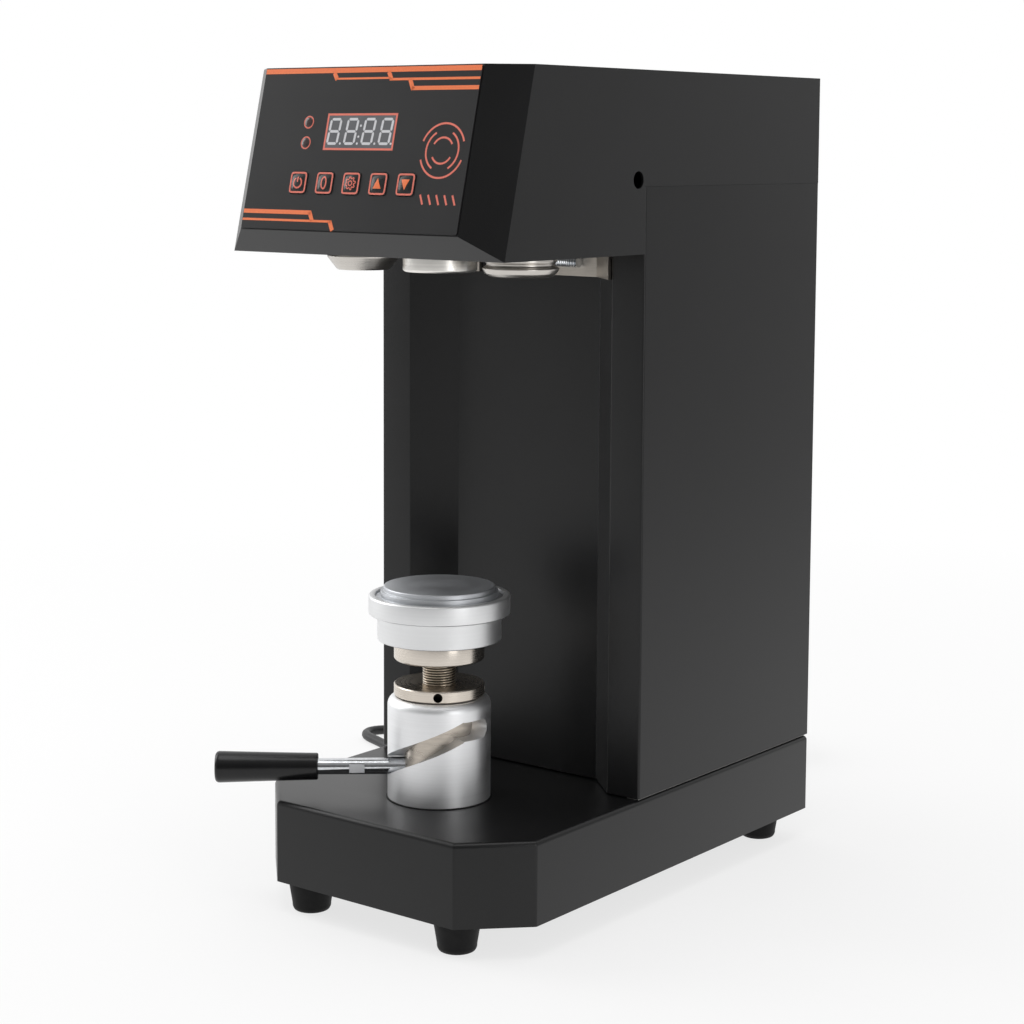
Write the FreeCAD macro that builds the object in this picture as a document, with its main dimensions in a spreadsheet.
import FreeCAD
import Part
import Sketcher
import math
import os
import re

# Bench can seamer with a spinning chuck, two swinging seaming rollers and a lever-operated lift.
# Origin on the surface it stands on, X = 0 its plane of symmetry, +Y to the rear, +Z up, mm.

SIZES = {
    # base case, folded from sheet
    "base_width": 200, "base_depth": 327, "base_front": -152, "base_bottom": 18.8, "base_height": 48.8,
    "base_corner": 33, "base_wall": 2, "base_bend": 2, "base_round": 3, "cover_sheet": 1.5,
    "cover_gap": 0.3,
    # rubber feet
    "foot_top_radius": 13.7, "foot_low_radius": 11.4, "foot_round": 2.5, "foot_hole": 2.2,
    "foot_recess_radius": 5.5, "foot_recess_depth": 9, "front_foot_x": 55.6, "front_foot_setback": 17.6,
    "rear_foot_x": 75, "rear_foot_margin": 20,
    # frame inside: mounting plate, side plates, head plate
    "mount_plate_thick": 10, "mount_plate_inset": 0.5, "frame_wall": 8, "head_plate_z": 408,
    "head_plate_thick": 12, "head_plate_setback": 25, "head_plate_rear": 32, "head_plate_gap": 0.4,
    "bolt_radius": 2.5, "bolt_head_radius": 3.7, "bolt_head_height": 5, "bolt_slack": 0.25,
    "bolt_grip": 10,
    # column, folded from sheet with a recess that clears the can
    "column_inset": 0.3, "column_setback": 132.3, "column_wall": 1.5, "column_gap": 0.8,
    "column_rear": 0.4, "column_bend": 1.5, "flange_width": 22.8, "recess_slant": 22.7,
    "recess_depth": 20.3, "column_top": 428.3, "fit_gap": 0.3,
    # steel bracket that follows the recess under the head plate
    "bracket_wall": 2.5, "bracket_bottom": 373.9, "bracket_end": 1.3, "notch_left": -36,
    "notch_right": 18, "notch_top": 399,
    # head case
    "head_inset": 0.2, "head_bottom": 389.5, "head_height": 105, "head_wall": 1.5, "bevel_width": 19.9,
    "panel_top_setback": 9.2, "panel_low_setback": -13.2, "chin_height": 13.5, "bevel_setback": 27.2,
    "access_radius": 5, "access_z": 432,
    # rear cover and small screws
    "rear_sheet": 1.5, "vent_width": 50, "vent_height": 3.2, "vent_round": 1.59, "vent_pitch": 8,
    "vent_first_z": 318, "vent_apart": 8, "vent_count": 8, "screw_radius": 2, "screw_head_radius": 3.8,
    "screw_head_height": 2.2, "screw_length": 9, "foot_screw_length": 13,
    # control panel
    "overlay_thick": 0.8, "overlay_inset": 0.7, "overlay_round": 1.5, "key_size": 12.6, "key_round": 2.4,
    "key_gap": 0.3, "key_proud": 1.1, "key_low": 27.5, "key_pitch": 19.75, "key_first_x": -40.1,
    "key_travel": 0.8, "key_slack": 0.1, "key_edge": 0.5, "lamp_radius": 3.1, "lamp_proud": 0.9,
    "lamp_neck": 0.3, "lamp_x": -39.6, "lamp_low": 50.4, "lamp_pitch": 11.8, "display_x": -0.2,
    "display_low": 46.3, "display_width": 51.3, "display_height": 20.9, "display_round": 0.8,
    "board_gap": 12, "board_thick": 1.6, "board_width": 150, "board_height": 62, "board_low": 8,
    "post_radius": 3, "post_inset": 6, "board_round": 2,
    # lift unit
    "lift_setback": 68.5, "cylinder_radius": 30.5, "cylinder_bore": 20.5, "cylinder_height": 61.4,
    "cylinder_round": 5.5, "slot_width": 11.2, "lever_bearing": -140, "lever_turn": 118, "lift_rise": 27,
    "pocket_turn": 27, "lever_z": 85.6, "piston_slack": 0.05, "piston_low_gap": 4, "piston_edge": 1,
    "ring_radius": 26.75, "ring_height": 6.7, "ring_gap": 0.5, "tommy_radius": 2.7, "tommy_depth": 8,
    "tommy_bearing": -52, "stud_radius": 9.8, "stud_sunk": 12, "hub_radius": 26.7, "hub_low": 150.8,
    "hub_height": 11.5, "hub_spigot_radius": 10, "hub_spigot_height": 15, "hub_thread": 6, "slot_over": 5,
    "small_edge": 0.6, "cut_over": 5,
    # lever
    "rod_radius": 4.8, "rod_sunk": 14, "grip_start": 71.5, "grip_end": 132, "grip_near_radius": 7.9,
    "grip_far_radius": 9.25, "grip_round": 2.5, "grip_hold": 42, "flat_start": 50, "flat_length": 9,
    "flat_depth": 0.8, "flat_over": 2,
    # turntable on its thrust bearing
    "race_radius": 24, "race_thick": 2.7, "ball_radius": 2.45, "ball_circle": 17.5, "ball_count": 12,
    "cage_inner": 13.5, "cage_outer": 21.5, "cage_thick": 2.6, "race_gap": 0.05, "tray_gap": 0.3,
    "tray_step_radius": 36.5, "tray_step_top": 177.9, "tray_radius": 41.7, "tray_rim_top": 189.2,
    "tray_rim_inner": 37.65, "tray_shoulder_radius": 34.6, "tray_shoulder_z": 191.6, "tray_floor": 183,
    "disc_radius": 32.8, "disc_top": 194.4, "tray_chamfer": 0.5, "shoulder_low": 1, "disc_edge": 0.4,
    # spindle and chuck
    "chuck_radius": 21.6, "chuck_bottom": 378.5, "chuck_height": 16.5, "chuck_dish_radius": 16,
    "chuck_dish_depth": 2.5, "shaft_radius": 8.5, "shaft_top": 470, "chuck_screw_radius": 6.5,
    "chuck_screw_seat": 2, "chuck_screw_slack": 0.2, "chuck_low_edge": 1.2, "chuck_top_edge": 1,
    "chuck_lip_slope": 1.5, "chuck_bore_depth": 8, "shaft_collar": 4, "shaft_collar_gap": 1,
    "housing_radius": 26, "housing_flange_radius": 37, "housing_flange_thick": 7, "housing_top": 446,
    "housing_lip": 1, "housing_taper": 1, "bearing_seat": 4, "race_width": 3, "shield_step": 0.4,
    "shield_depth": 0.8, "bearing_radius": 20, "bearing_width": 12, "shaft_slack": 0.02,
    "pulley_low": 450, "pulley_width": 16, "spindle_pulley_radius": 30, "motor_pulley_radius": 18,
    "pulley_rim": 2.2, "pulley_flange": 1, "pulley_slope": 0.6, "belt_thick": 2.5, "belt_width": 12,
    "belt_gap": 0.1,
    # motor
    "motor_radius": 42, "motor_length": 112, "motor_boss_radius": 15, "motor_boss_height": 5,
    "motor_shaft_radius": 7, "motor_rib_count": 24, "motor_edge": 4, "motor_end": 24, "motor_step": 1,
    "motor_waist": 2, "motor_shaft_in": 20, "rib_root": 3, "rib_inset": 0.2, "rib_half": 1.2,
    # seaming rollers on swinging arms
    "pivot_x": 70, "pivot_setback": 117, "roller_x": 59, "arm_low": 395, "arm_thick": 10,
    "arm_hub_radius": 11.5, "arm_end_radius": 10, "arm_half": 8, "pivot_shaft_radius": 8,
    "pivot_slack": 0.05, "roller_radius": 21.8, "roller_bottom": 377.6, "roller_top": 393.6,
    "roller_edge": 0.4, "left_neck": 3, "left_cone_top": 10.5, "left_cone_low": 9.5, "left_cone_in": 0.5,
    "left_rim_top": 9, "left_rim_low": 7.6, "left_bowl": 8.5, "left_floor": 6, "right_neck": 1.4,
    "right_neck_low": 9, "right_groove": 2.4, "right_groove_top": 7.6, "right_groove_low": 6.6,
    "right_rim_top": 5.2, "right_rim_low": 4.6, "right_bowl": 9.5, "right_floor": 6.3,
    "keeper_recess": 1.6, "roller_pin_radius": 5, "pin_collar_radius": 7.5, "roller_gap": 0.3,
    "pin_head_radius": 3.75, "pin_head_height": 0.8, "pin_head_low": 0.3, "pin_head_edge": 0.4,
    "keeper_radius": 7, "keeper_thick": 0.8, "crank_low_gap": 0.3, "crank_hub_radius": 12.5,
    "crank_top": 434, "crank_radius": 28, "crank_half": 6.5, "crank_pin_radius": 3, "crank_web": 6,
    "crank_pin_top": 443,
    # linear drives that swing the arms
    "drive_x": 42, "drive_setback": 160, "drive_length": 100, "drive_width": 25, "drive_height": 36,
    "drive_rod_radius": 5, "drive_rod_z": 438, "drive_rod_in": 28, "drive_stroke": 8.5, "rod_slack": 0.05,
    "eye_radius": 8, "eye_thick": 6, "eye_slot": 1.6, "eye_gap": 0.3, "eye_overlap": 1,
    # power supply in the column
    "supply_width": 98, "supply_depth": 44, "supply_height": 150, "supply_round": 3,
    # mains lead
    "relief_x": -14, "relief_z": 43, "relief_flange_radius": 11, "relief_flange_thick": 3,
    "relief_length": 30, "relief_tail": 3, "cord_bite": 1, "relief_low_radius": 6.2,
    "relief_top_radius": 8, "cord_radius": 3.5, "coil_x": -62, "coil_y": 324, "coil_mid_radius": 41,
    "coil_half": 7, "plug_width": 26, "plug_length": 42, "plug_height": 17, "plug_round": 5,
    "plug_pin_radius": 2.2, "plug_pin_length": 19, "plug_pin_gap": 19,
}

# sizes that follow from others, so that the column, head and frame keep to the base
DERIVED = {
    "head_top": "head_bottom + head_height", "panel_low_z": "head_bottom + chin_height",
    "column_width": "base_width - 2 * column_inset", "head_width": "base_width - 2 * head_inset",
    "head_plate_width": "column_width - 2 * column_wall - 2 * head_plate_gap",
    "head_plate_depth": "base_depth - head_plate_setback - head_plate_rear",
    "column_back": "base_depth - column_rear", "flange_half": "column_width / 2 - flange_width",
    "recess_half": "flange_half - recess_slant", "bracket_half": "flange_half - bracket_end",
    "panel_half": "head_width / 2 - bevel_width", "rear_foot_setback": "base_depth - rear_foot_margin",
    "motor_setback": "(column_setback + recess_depth + column_back) / 2", "supply_setback": "motor_setback",
}

os.makedirs("parts", exist_ok=True)
doc = FreeCAD.newDocument("can_seamer")
sheet = doc.addObject("Spreadsheet::Sheet", "Sizes")
for row, (name, value) in enumerate(SIZES.items(), 1):
    sheet.set(f"A{row}", name)
    sheet.set(f"B{row}", str(value))
    sheet.setAlias(f"B{row}", name)
doc.recompute()

BASE_TOP = "(base_bottom + base_height)"
REAR = "(base_front + base_depth)"
CASE_BACK = "(base_front + column_back)"
COLUMN_FRONT = "(base_front + column_setback)"
RECESS_BACK = "(base_front + column_setback + recess_depth)"
LIFT_Y = "(base_front + lift_setback)"
PIVOT_Y = "(base_front + pivot_setback)"
MOTOR_Y = "(base_front + motor_setback)"
CYLINDER_TOP = "(base_bottom + base_height + cylinder_height)"
PLATE_TOP = "(head_plate_z + head_plate_thick)"
RING_LOW = f"({CYLINDER_TOP} + ring_gap)"
HUB_TOP = "(hub_low + hub_height)"
PANEL_SLOPE = "((panel_top_setback - panel_low_setback) / (head_top - panel_low_z))"
ALONG_X = FreeCAD.Vector(1, 0, 0)
ALONG_Y = FreeCAD.Vector(0, 1, 0)
ALONG_Z = FreeCAD.Vector(0, 0, 1)
NODES = {}


def linked(text):
    """A formula of size names, as the document's expression, with derived sizes written out."""
    def cell(found):
        name = found.group()
        return f"({linked(DERIVED[name])})" if name in DERIVED else "Sizes." + name
    return re.sub(r"[a-z]+(_[a-z]+)+", cell, str(text))


def number(text):
    """The present value of a formula of size names."""
    return float(sheet.evalExpression(linked(text)))


def bind(thing, **formulas):
    for name, text in formulas.items():
        thing.setExpression(name.replace("__", "."), linked(text))
    return thing


def place(thing, x="0", y="0", z="0", turn=None, about=ALONG_Z):
    """Puts a piece at x, y, z, turned by an angle in degrees about an axis."""
    if turn is not None:
        thing.Placement = FreeCAD.Placement(FreeCAD.Vector(), FreeCAD.Rotation(about, 10))
        bind(thing, Placement__Rotation__Angle=turn)
    return bind(thing, Placement__Base__x=x, Placement__Base__y=y, Placement__Base__z=z)


def node(thing, name):
    """Names a finished piece."""
    thing.Label = name
    NODES[name] = thing
    return thing


def new_body(name):
    return doc.addObject("PartDesign::Body", name)


def sketch_on(body, plane, shapes, lift="0"):
    """A fully constrained sketch of closed outlines and circles. An outline is a list of corners
    (x, y), and a circle is a tuple ("circle", x, y, radius), all formulas of size names. A corner
    (x, y, radius) starts an arc to the next one, bulging to the right of the way there, or to the
    left with a radius that starts with a tilde."""
    sketch = body.newObject("Sketcher::SketchObject", body.Name + "_sketch")
    origin = [f for f in body.Origin.OriginFeatures if f.Role == plane + "_Plane"][0]
    sketch.AttachmentSupport = [(origin, "")]
    sketch.MapMode = "FlatFace"
    bind(sketch, AttachmentOffset__Base__z=lift)
    rules = []
    formulas = {}

    def rule(kind, *where, formula):
        formulas[len(rules)] = formula
        rules.append(Sketcher.Constraint(kind, *where, number(formula)))

    for shape in shapes:
        first = sketch.GeometryCount
        if shape[0] == "circle":
            middle = FreeCAD.Vector(number(shape[1]), number(shape[2]), 0)
            sketch.addGeometry(Part.Circle(middle, ALONG_Z, number(shape[3])), False)
            rule("DistanceX", -1, 1, first, 3, formula=shape[1])
            rule("DistanceY", -1, 1, first, 3, formula=shape[2])
            rule("Radius", first, formula=shape[3])
            continue
        corners = [FreeCAD.Vector(number(c[0]), number(c[1]), 0) for c in shape]
        ends, semicircle = [], {}
        for i, corner in enumerate(shape):
            start, finish = corners[i], corners[(i + 1) % len(shape)]
            if len(corner) == 2:
                sketch.addGeometry(Part.LineSegment(start, finish), False)
                ends.append((1, 2))
                continue
            left = corner[2].startswith("~")
            radius = number(corner[2].lstrip("~"))
            half = (finish - start) * 0.5
            semicircle[i] = radius - half.Length < 1e-6 and abs(half.x) < 1e-6
            side = FreeCAD.Vector(-half.y, half.x, 0).normalize() * (-1 if left else 1)
            centre = start + half + side * math.sqrt(max(radius ** 2 - half.Length ** 2, 0))
            circle = Part.Circle(centre, ALONG_Z, radius)
            a, b = (finish, start) if left else (start, finish)
            arc = Part.ArcOfCircle(circle, circle.parameter(a), circle.parameter(b))
            sketch.addGeometry(arc, False)
            ends.append((2, 1) if left else (1, 2))
        for i, corner in enumerate(shape):
            follower = (i + 1) % len(shape)
            rules.append(Sketcher.Constraint(
                "Coincident", first + i, ends[i][1], first + follower, ends[follower][0]))
            rule("DistanceX", -1, 1, first + i, ends[i][0], formula=corner[0])
            rule("DistanceY", -1, 1, first + i, ends[i][0], formula=corner[1])
            if len(corner) == 3 and semicircle[i]:
                rule("DistanceX", -1, 1, first + i, 3, formula=corner[0])
            elif len(corner) == 3:
                rule("Radius", first + i, formula=corner[2].lstrip("~"))
    sketch.addConstraint(rules)
    for index, formula in formulas.items():
        sketch.setExpression(f"Constraints[{index}]", linked(formula))
    return sketch


def raised(body, sketch, length, both=False, back=False, cut=False):
    """A pad of a sketch, or a pocket."""
    kind = "Pocket" if cut else "Pad"
    feature = body.newObject("PartDesign::" + kind, body.Name + "_" + kind.lower())
    feature.Profile = sketch
    feature.Type = 0
    if both:
        feature.SideType = "Symmetric"
    feature.Reversed = back
    bind(feature, Length=length)
    body.Tip = feature
    return feature


def turned(body, sketch, cut=False):
    """A revolution of a sketch about its upright axis, or a groove."""
    kind = "Groove" if cut else "Revolution"
    feature = body.newObject("PartDesign::" + kind, body.Name + "_" + kind.lower())
    feature.Profile = sketch
    feature.ReferenceAxis = (sketch, ["V_Axis"])
    feature.Angle = 360
    body.Tip = feature
    return feature


def rounded(body, base, size, test, kind="Fillet"):
    """A fillet or chamfer on the edges of a feature that pass a test."""
    doc.recompute()
    picked = [f"Edge{i}" for i, e in enumerate(base.Shape.Edges, 1) if test(e)]
    feature = body.newObject("PartDesign::" + kind, body.Name + "_" + kind.lower())
    feature.Base = (base, picked)
    bind(feature, **{"Radius" if kind == "Fillet" else "Size": size})
    body.Tip = feature
    return feature


def repeated(body, feature, count, pitch_axis, offset=None):
    """Copies of a feature, round an axis or in a line along it."""
    kind = "LinearPattern" if offset else "PolarPattern"
    pattern = body.newObject("PartDesign::" + kind, body.Name + "_pattern")
    pattern.Originals = [feature]
    axis = [f for f in body.Origin.OriginFeatures if f.Role == pitch_axis + "_Axis"][0]
    if offset:
        pattern.Direction = (axis, [""])
        bind(pattern, Length=f"({count} - 1) * {offset}")
    else:
        pattern.Axis = (axis, [""])
        pattern.Angle = 360
    bind(pattern, Occurrences=count)
    body.Tip = pattern
    return pattern


def upright(edge):
    return len(edge.Vertexes) == 2 and edge.Curve.TypeId == "Part::GeomLine" \
        and abs(edge.Curve.Direction.z) > 0.999


def at_height(text):
    """Picks the edges that lie level at a height."""
    level = number(text)
    return lambda edge: abs(edge.BoundBox.ZMin - level) < 1e-4 and abs(edge.BoundBox.ZMax - level) < 1e-4


def turned_piece(name, profile, x="0", y="0", z="0"):
    """A turned piece from its half profile (radius, height)."""
    body = new_body(name)
    turned(body, sketch_on(body, "XZ", [profile]))
    return place(body, x, y, z)


def tube(inner, outer, low, high):
    """The half profile of a plain ring."""
    return [(inner, low), (outer, low), (outer, high), (inner, high)]


def group(name, pieces):
    """Several like pieces kept as separate solids of one node."""
    compound = doc.addObject("Part::Compound", name + "_group")
    compound.Links = pieces
    return node(compound, name)


def joined(name, pieces):
    fuse = doc.addObject("Part::MultiFuse", name)
    fuse.Shapes = pieces
    fuse.Refine = True
    return fuse


def less(name, base, tool):
    cut = doc.addObject("Part::Cut", name)
    cut.Base = base
    cut.Tool = tool
    return cut


def rod(name, radius, length, x="0", y="0", z="0", turn=None, about=ALONG_Z):
    """A plain round rod that rises from its place, or lies along Y when turned about X."""
    piece = doc.addObject("Part::Cylinder", name)
    bind(piece, Radius=radius, Height=length)
    return place(piece, x, y, z, turn, about)


def block(name, width, depth, height, x, y, z):
    """A block with its middle at x and its front low edge at y, z."""
    piece = doc.addObject("Part::Box", name)
    bind(piece, Length=width, Width=depth, Height=height)
    return place(piece, f"{x} - ({width}) / 2", y, z)


# Base case: a folded tray turned upside down, with cut front corners
def base_plan(inset):
    """The outline of the base, inset all round."""
    inset = f"({inset})"
    side = f"base_width / 2 - {inset}"
    near = f"base_front + {inset}"
    shift = f"base_corner + ({inset}) * (sqrt(2) - 1)"
    return [(f"-base_width / 2 + {shift}", near), (f"base_width / 2 - ({shift})", near),
            (side, f"base_front + {shift}"), (side, f"{REAR} - {inset}"),
            (f"-({side})", f"{REAR} - {inset}"), (f"-({side})", f"base_front + {shift}")]


CYLINDER_BOLTS = [(sx, sy) for sx in (-1, 1) for sy in (-1, 1)]
CYLINDER_BOLT_OFFSET = "((cylinder_radius + cylinder_bore) / 2 * sqrt(0.5))"
FRAME_BOLT_X = "(column_width / 2 - column_wall - frame_wall / 2)"
FRAME_FRONT = f"({COLUMN_FRONT} + column_wall + fit_gap)"
FRAME_BACK = f"({CASE_BACK} - rear_sheet)"
FRAME_BOLT_Y = [f"({FRAME_FRONT} + ({FRAME_BACK} - {FRAME_FRONT}) * {share})" for share in (0.1, 0.5, 0.9)]
SCREW_Z = [f"({BASE_TOP} + {share} * (head_plate_z - {BASE_TOP}))" for share in (0.06, 0.5, 0.94)]


def bolt_places():
    """Where the frame bolts stand in the base: four under the lift cylinder, three a side plate."""
    spots = [(f"{sx} * {CYLINDER_BOLT_OFFSET}", f"{LIFT_Y} + {sy} * {CYLINDER_BOLT_OFFSET}")
             for sx, sy in CYLINDER_BOLTS]
    spots += [(f"{side} * {FRAME_BOLT_X}", y) for side in (-1, 1) for y in FRAME_BOLT_Y]
    return spots


body = new_body("base")
shell = raised(body, sketch_on(body, "XY", [base_plan("0")], "base_bottom"), "base_height")
shell = rounded(body, shell, "base_bend", upright)
shell = rounded(body, shell, "base_round", at_height(BASE_TOP))
shell = raised(body, sketch_on(body, "XY", [base_plan("base_wall")], "base_bottom"),
               "base_height - base_wall", back=True, cut=True)
holes = [("circle", x, y, "bolt_radius + bolt_slack") for x, y in bolt_places()]
raised(body, sketch_on(body, "XY", holes, BASE_TOP), "base_wall * 2", cut=True)
relief = new_body("base_rear_hole")
raised(relief, sketch_on(relief, "XZ", [("circle", "relief_x", "relief_z", "relief_low_radius")]),
       "base_depth * 2", both=True)
front_block = block("base_front_keep", "base_width * 2", "base_depth", "base_height * 3", "0",
                    "base_front - base_depth / 2", "0")
relief = less("base_lead_hole", relief, front_block)
node(less("base_with_hole", body, relief), "base_shell")

body = new_body("bottom")
plate = [base_plan("base_wall + cover_gap")]
FEET = [(f"{side} * {x}", f"base_front + {y}")
        for x, y in (("front_foot_x", "front_foot_setback"), ("rear_foot_x", "rear_foot_setback"))
        for side in (-1, 1)]
plate += [("circle", x, y, "screw_radius") for x, y in FEET]
raised(body, sketch_on(body, "XY", plate, "base_bottom"), "cover_sheet")
node(body, "bottom_cover")

FOOT = [("foot_hole", "foot_recess_depth"), ("foot_recess_radius", "foot_recess_depth"),
        ("foot_recess_radius", "0"), ("foot_low_radius - foot_round", "0", "foot_round"),
        ("foot_low_radius", "foot_round"), ("foot_top_radius", "base_bottom"),
        ("foot_hole", "base_bottom")]
group("rubber_feet", [turned_piece(f"foot{i}", FOOT, x, y) for i, (x, y) in enumerate(FEET)])

# Frame inside: a thick plate under the top of the base, two side plates and the head plate
body = new_body("mount_plate")
PLATE_LOW = f"({BASE_TOP} - base_wall - mount_plate_thick)"
plate = [base_plan("base_wall + mount_plate_inset")]
plate += [("circle", x, y, "bolt_radius + bolt_slack") for x, y in bolt_places()]
raised(body, sketch_on(body, "XY", plate, PLATE_LOW), "mount_plate_thick")
node(body, "mount_plate")

sides = []
for side in (-1, 1):
    body = new_body(f"side_plate{side + 1}")
    low, high = BASE_TOP, "head_plate_z"
    outline = [(FRAME_FRONT, low), (FRAME_BACK, low), (FRAME_BACK, high), (FRAME_FRONT, high)]
    raised(body, sketch_on(body, "YZ", [outline]), "frame_wall", both=True)
    place(body, f"{side} * {FRAME_BOLT_X}")
    threads = [rod(f"thread{side + 1}{i}", "bolt_radius", "bolt_grip", f"{side} * {FRAME_BOLT_X}", y, low)
               for i, y in enumerate(FRAME_BOLT_Y)]
    threads += [rod(f"head_thread{side + 1}{i}", "bolt_radius", "bolt_grip", f"{side} * {FRAME_BOLT_X}", y,
                    f"{high} - bolt_grip") for i, y in enumerate(FRAME_BOLT_Y[:2])]
    threads += [rod(f"rear_thread{side + 1}{i}", "screw_radius", "screw_length - rear_sheet",
                    f"{side} * {FRAME_BOLT_X}", FRAME_BACK, z, "90", ALONG_X) for i, z in enumerate(SCREW_Z)]
    sides.append(less(f"side_plate_tapped{side + 1}", body, joined(f"threads{side + 1}", threads)))
group("frame_side_plates", sides)

body = new_body("head_plate_body")
NEAR = "(base_front + head_plate_setback)"
outline = [("-head_plate_width / 2", NEAR), ("head_plate_width / 2", NEAR),
           ("head_plate_width / 2", f"{NEAR} + head_plate_depth"),
           ("-head_plate_width / 2", f"{NEAR} + head_plate_depth")]
holes = [("circle", "0", LIFT_Y, "housing_radius"),
         ("circle", "0", MOTOR_Y, "motor_boss_radius + bolt_slack")]
holes += [("circle", f"{side} * pivot_x", PIVOT_Y, "pivot_shaft_radius + pivot_slack") for side in (-1, 1)]
holes += [("circle", f"{side} * {FRAME_BOLT_X}", y, "bolt_radius + bolt_slack")
          for side in (-1, 1) for y in FRAME_BOLT_Y[:2]]
raised(body, sketch_on(body, "XY", [outline] + holes, "head_plate_z"), "head_plate_thick")
node(body, "head_plate")

# Frame bolts: cap screws from below into the lift cylinder and side plates, from above at the head
BOLT_LENGTH = "(bolt_head_height + mount_plate_thick + base_wall + bolt_grip)"
BOLT = [("0", "0"), ("bolt_head_radius", "0"), ("bolt_head_radius", "bolt_head_height"),
        ("bolt_radius", "bolt_head_height"), ("bolt_radius", BOLT_LENGTH), ("0", BOLT_LENGTH)]
bolts = [turned_piece(f"bolt{i}", BOLT, x, y, f"{PLATE_LOW} - bolt_head_height")
         for i, (x, y) in enumerate(bolt_places())]
for i, (side, y) in enumerate([(s, y) for s in (-1, 1) for y in FRAME_BOLT_Y[:2]]):
    bolt = turned_piece(f"head_bolt{i}", BOLT)
    place(bolt, f"{side} * {FRAME_BOLT_X}", y, f"{PLATE_TOP} + bolt_head_height", "180", ALONG_X)
    bolts.append(bolt)
group("frame_bolts", bolts)

# Column: one folded sheet, closed behind by the rear cover
SLANT_RUN = "(flange_half - recess_half)"
BEND = f"((sqrt(recess_depth ^ 2 + {SLANT_RUN} ^ 2) - {SLANT_RUN}) / recess_depth)"


def recess_line(offset, ends):
    """The left-to-right line of the recess, moved back by an offset, between its two ends."""
    flange = f"flange_half + {offset} * {BEND}"
    floor = f"recess_half + {offset} * {BEND}"
    return [ends[0], (f"-({flange})", f"{COLUMN_FRONT} + {offset}"),
            (f"-({floor})", f"{RECESS_BACK} + {offset}"),
            (floor, f"{RECESS_BACK} + {offset}"), (flange, f"{COLUMN_FRONT} + {offset}"), ends[1]]


body = new_body("column")
half, inner = "column_width / 2", "(column_width / 2 - column_wall)"
outside = recess_line("0", [(f"-{half}", COLUMN_FRONT), (half, COLUMN_FRONT)])
inside = recess_line("column_wall", [(f"-{inner}", f"{COLUMN_FRONT} + column_wall"),
                                     (inner, f"{COLUMN_FRONT} + column_wall")])
outline = [(f"-{half}", CASE_BACK)] + outside + [(half, CASE_BACK), (inner, CASE_BACK)]
outline += inside[::-1] + [(f"-{inner}", CASE_BACK)]
shell = raised(body, sketch_on(body, "XY", [outline], f"{BASE_TOP} + column_gap"),
               f"column_top - {BASE_TOP} - column_gap")
fold_lines = [(number(f"-{half}"), number(COLUMN_FRONT)), (number(half), number(COLUMN_FRONT)),
              (-number("flange_half"), number(COLUMN_FRONT)), (number("flange_half"), number(COLUMN_FRONT))]
rounded(body, shell, "column_bend", lambda e: upright(e) and any(
    abs(e.Vertexes[0].X - x) < 1e-4 and abs(e.Vertexes[0].Y - y) < 1e-4 for x, y in fold_lines))
top_cut = block("column_top_cut", "column_width - 2 * column_wall",
                f"recess_depth + column_wall + 2 * cut_over",
                "column_top", "0", f"{COLUMN_FRONT} - cut_over", "head_plate_z - fit_gap")
node(less("column_cut", body, top_cut), "column_shell")

body = new_body("bracket")
gap_far, gap_near = "-fit_gap", "(-fit_gap - bracket_wall)"


def bracket_line(offset):
    """Three sides of the recess, in front of its wall, between the bracket's ends."""
    slope = "(recess_depth / (flange_half - recess_half))"
    floor = f"(recess_half + {offset} * {BEND})"
    back = f"({RECESS_BACK} + {offset})"
    end_y = f"({back} - (bracket_half - {floor}) * {slope})"
    return [("-bracket_half", end_y), (f"-{floor}", back), (floor, back), ("bracket_half", end_y)]


raised(body, sketch_on(body, "XY", [bracket_line(gap_near) + bracket_line(gap_far)[::-1]],
                       "bracket_bottom"), "head_plate_z - bracket_bottom")
notch = block("bracket_notch", "notch_right - notch_left", "2 * recess_depth", "notch_top - bracket_bottom",
              "(notch_left + notch_right) / 2", COLUMN_FRONT, "bracket_bottom")
node(less("bracket_cut", body, notch), "head_bracket")

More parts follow.
